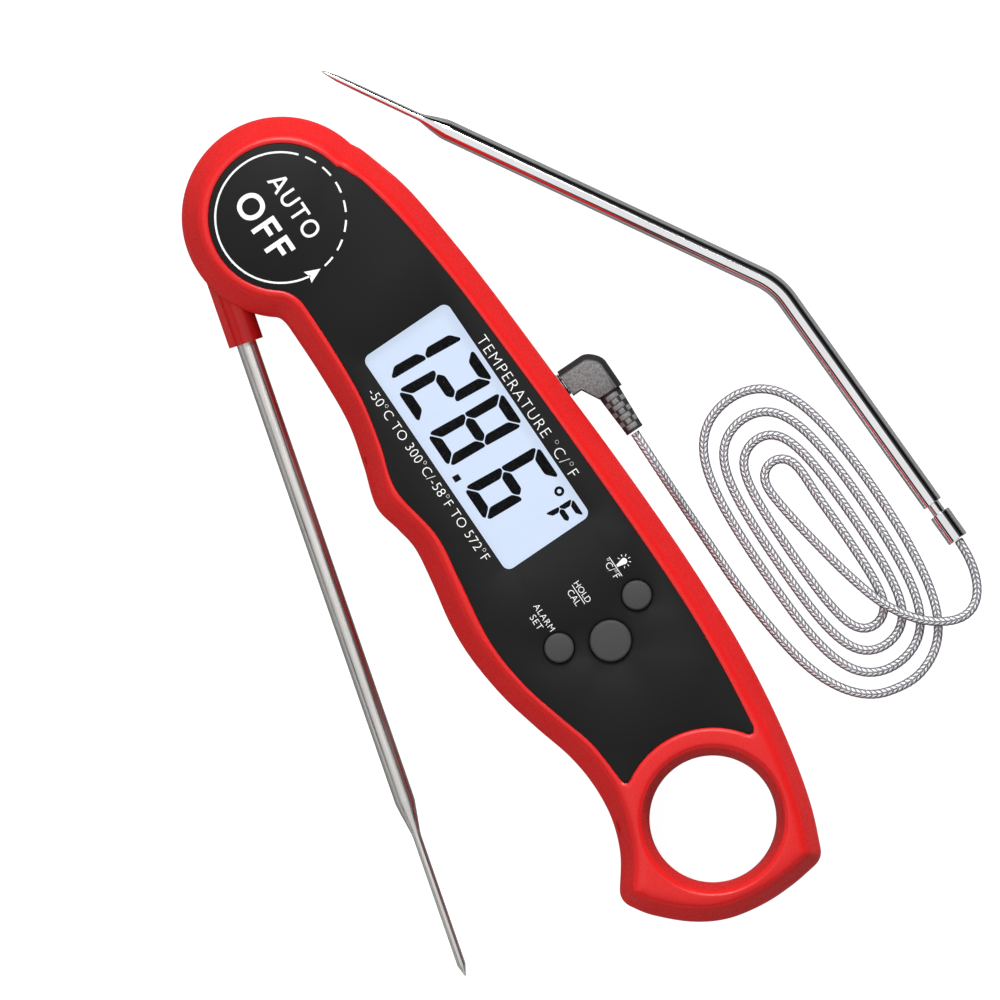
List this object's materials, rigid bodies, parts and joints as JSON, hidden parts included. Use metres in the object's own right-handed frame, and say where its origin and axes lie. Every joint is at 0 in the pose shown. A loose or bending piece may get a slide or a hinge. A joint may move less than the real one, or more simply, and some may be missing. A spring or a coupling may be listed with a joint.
{
  "type": "meat thermometer",
  "caption": "Folding digital meat thermometer with a swing-out probe, a backlit display, push buttons, a hanging ring and a bent wired probe on a braided cord plugged into its side",
  "frame": {"origin": "the point of the flat back face that lies on the folding probe's pivot axis", "axes": "+Y from the hanging ring towards the pivot head, +Z out of the display, +X towards the side with the probe jack; the handset lies on its back"},
  "size_m": [0.1162, 0.1642, 0.019],
  "materials": {
    "red_case": "moulded red ABS, satin gloss",
    "face_black": "black faceplate with a fine texture and white print",
    "key_grey": "dark grey moulded keys, slightly domed",
    "soft_black": "soft black moulded rubber or PVC",
    "inner_black": "black moulded electronic part",
    "lens_clear": "clear display window",
    "lcd_glass": "pale blue liquid crystal cell",
    "diffuser": "white light guide",
    "board_green": "green printed circuit board",
    "steel": "satin stainless steel",
    "bright_steel": "polished stainless or plated steel",
    "magnet_nickel": "nickel-plated magnet",
    "braid": "woven stainless-steel braid over the cord",
    "contact_gold": "gold-coloured spring contact or wire"
  },
  "bodies": {
    "handset": {"front_shell": "red_case", "back_shell": "red_case", "face_panel": "face_black", "display_lens": "lens_clear", "lcd_panel": "lcd_glass", "backlight_panel": "diffuser", "main_board": "board_green", "probe_jack": "inner_black", "buzzer": "inner_black", "hinge_sensor": "inner_black", "coin_cell": "bright_steel", "cell_contact_positive": "contact_gold", "cell_contact_negative": "contact_gold", "upper_magnet": "magnet_nickel", "lower_magnet": "magnet_nickel", "case_screw_1": "steel", "case_screw_2": "steel", "case_screw_3": "steel", "case_screw_4": "steel", "pivot_screw": "steel", "battery_seal_ring": "soft_black", "hub_wave_washer": "steel", "hub_seal_ring": "soft_black", "alarm_switch": "bright_steel", "hold_switch": "bright_steel", "light_switch": "bright_steel"},
    "folding_probe": {"probe_hub": "red_case", "probe_shaft": "steel", "probe_thermistor": "inner_black", "probe_wire": "contact_gold", "hub_magnet": "magnet_nickel"},
    "alarm_key": {"alarm_button": "key_grey"},
    "hold_key": {"hold_button": "key_grey"},
    "light_key": {"light_button": "key_grey"},
    "battery_door": {"battery_cover": "red_case"},
    "wired_probe": {"plug_body": "soft_black", "plug_sleeve": "bright_steel", "plug_tip": "bright_steel", "plug_boot": "soft_black", "cord_lead": "braid", "cord_coil": "braid", "cord_tail": "braid", "crimp_ferrule": "bright_steel", "wired_probe_shaft": "bright_steel", "wired_thermistor": "inner_black", "wired_probe_wire": "contact_gold"}
  },
  "joints": [
    {"name": "probe_fold", "type": "hinge", "parent": "handset", "child": "folding_probe", "pos_m": [0, 0, 0.0087], "axis": [0, 0, -1], "range_deg": [-15.1, 164.9]},
    {"name": "alarm_press", "type": "slide", "parent": "handset", "child": "alarm_key", "axis": [0, 0, -1], "range_m": [0, 0.0008], "stiffness_N_per_m": 1500, "springref_m": -0.0003},
    {"name": "hold_press", "type": "slide", "parent": "handset", "child": "hold_key", "axis": [0, 0, -1], "range_m": [0, 0.0008], "stiffness_N_per_m": 1500, "springref_m": -0.0003},
    {"name": "light_press", "type": "slide", "parent": "handset", "child": "light_key", "axis": [0, 0, -1], "range_m": [0, 0.0008], "stiffness_N_per_m": 1500, "springref_m": -0.0003},
    {"name": "battery_door_turn", "type": "hinge", "parent": "handset", "child": "battery_door", "pos_m": [0.0054, -0.09, 0.001], "axis": [0, 0, -1], "range_deg": [0, 45]},
    {"name": "plug_pull", "type": "slide", "parent": "handset", "child": "wired_probe", "axis": [1, 0, 0], "range_m": [0, 0.014]}
  ]
}
